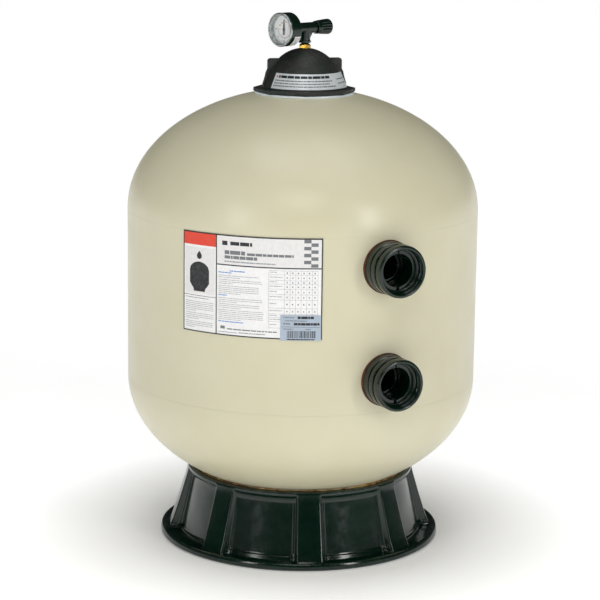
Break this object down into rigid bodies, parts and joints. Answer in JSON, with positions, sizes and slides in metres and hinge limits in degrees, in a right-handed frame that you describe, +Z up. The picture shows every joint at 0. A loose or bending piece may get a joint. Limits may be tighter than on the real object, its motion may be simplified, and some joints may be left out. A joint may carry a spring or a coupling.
{
  "type": "sand filter tank",
  "caption": "Round sand filter tank with domed ends on a ribbed foot, side ports, a screwed closure carrying a gauge and relief valve, and internal pipework.",
  "frame": {"origin": "on the floor at the centre of the bounding box; the tank's own axis is vertical and stands at y = +0.025 m", "axes": "+Z up along the tank's axis; -Y the way the two ports face; +X to the right when looking at the ports"},
  "size_m": [0.61, 0.66, 0.9237],
  "materials": {
    "almond": "satin",
    "foot_black": "gloss",
    "closure_black": "matte",
    "gloss_black": "gloss",
    "black_rubber": "matte",
    "red_rubber": "matte",
    "neck_white": "satin",
    "label_white": "satin",
    "label_silver": "satin",
    "brass": "polished",
    "bezel_grey": "satin",
    "clear_lens": "clear",
    "white_pvc": "satin"
  },
  "bodies": {
    "tank": {"tank_barrel": "almond", "tank_upper_dome": "almond", "tank_lower_dome": "almond", "neck_insert": "neck_white", "foot": "foot_black", "foot_flange": "foot_black", "instruction_label": "label_white", "serial_sticker": "label_silver", "upper_port_bulkhead": "gloss_black", "upper_port_inner_gasket": "black_rubber", "upper_port_outer_gasket": "red_rubber", "upper_port_nut": "gloss_black", "upper_port_collar": "gloss_black", "lower_port_bulkhead": "gloss_black", "lower_port_inner_gasket": "black_rubber", "lower_port_outer_gasket": "red_rubber", "lower_port_nut": "gloss_black", "lower_port_collar": "gloss_black", "outlet_pipe": "gloss_black", "outlet_elbow": "white_pvc", "outlet_riser": "white_pvc", "lateral_hub": "white_pvc", "lateral_1": "white_pvc", "lateral_2": "white_pvc", "lateral_3": "white_pvc", "lateral_4": "white_pvc", "lateral_5": "white_pvc", "lateral_6": "white_pvc", "lateral_7": "white_pvc", "lateral_8": "white_pvc", "air_relief_tube": "white_pvc", "air_relief_strainer": "white_pvc", "drain_fitting": "gloss_black", "drain_screen": "white_pvc", "drain_nut": "gloss_black", "drain_elbow": "gloss_black", "drain_pipe": "white_pvc"},
    "diffuser_arm": {"inlet_pipe": "gloss_black", "inlet_elbow": "white_pvc", "inlet_riser": "white_pvc", "diffuser": "white_pvc"},
    "closure_seal": {"closure_o_ring": "black_rubber"},
    "closure_top": {"closure": "closure_black", "closure_plug": "closure_black", "closure_label": "label_silver", "brass_adapter": "brass", "relief_valve_body": "gloss_black", "gauge_socket": "brass", "gauge_case": "gloss_black", "gauge_bezel": "bezel_grey", "gauge_lens": "clear_lens", "gauge_dial": "label_white", "bourdon_tube": "brass"},
    "gauge_pointer": {"gauge_needle": "gloss_black"},
    "gauge_movement": {"gauge_sector": "brass"},
    "relief_seal": {"relief_stem_o_ring": "black_rubber"},
    "relief_knob_and_stem": {"relief_knob": "gloss_black", "relief_stem": "black_rubber"},
    "drain_cap_seal": {"drain_cap_gasket": "black_rubber"},
    "drain_cap_body": {"drain_cap": "gloss_black"}
  },
  "joints": [
    {"name": "closure_lift", "type": "slide", "parent": "tank", "child": "closure_seal", "axis": [0, 0, 1], "range_m": [0, 0.4]},
    {"name": "closure_turn", "type": "hinge", "parent": "closure_seal", "child": "closure_top", "pos_m": [0, 0.025, 0.79], "axis": [0, 0, 1], "range_deg": [0, 1080]},
    {"name": "diffuser_swing", "type": "hinge", "parent": "tank", "child": "diffuser_arm", "pos_m": [0, 0.025, 0.532], "axis": [0, 1, 0], "range_deg": [0, 60]},
    {"name": "gauge_pointer_turn", "type": "hinge", "parent": "closure_top", "child": "gauge_pointer", "pos_m": [-0.04861, 0.00958, 0.8947], "axis": [0.9532, 0.3024, 0], "range_deg": [0, 270], "stiffness_Nm_per_rad": 0.001},
    {"name": "gauge_sector_turn", "type": "hinge", "parent": "closure_top", "child": "gauge_movement", "pos_m": [-0.04003, 0.0123, 0.8847], "axis": [-0.9532, -0.3024, 0], "range_deg": [0, 39]},
    {"name": "relief_knob_travel", "type": "slide", "parent": "closure_top", "child": "relief_seal", "axis": [0.9532, 0.3024, 0], "range_m": [0, 0.003]},
    {"name": "relief_knob_turn", "type": "hinge", "parent": "relief_seal", "child": "relief_knob_and_stem", "pos_m": [0.0286, 0.03407, 0.8947], "axis": [0.9532, 0.3024, 0], "range_deg": [0, 720]},
    {"name": "drain_cap_pull", "type": "slide", "parent": "tank", "child": "drain_cap_seal", "axis": [0, 1, 0], "range_m": [0, 0.06]},
    {"name": "drain_cap_turn", "type": "hinge", "parent": "drain_cap_seal", "child": "drain_cap_body", "pos_m": [0, 0.295, 0.04], "axis": [0, 1, 0], "range_deg": [0, 1080]}
  ],
  "couplings": [
    {"joint": "gauge_sector_turn", "follows": "gauge_pointer_turn", "ratio": 0.14286},
    {"joint": "relief_knob_turn", "follows": "relief_knob_travel", "rad_per_m": 4188.8}
  ]
}
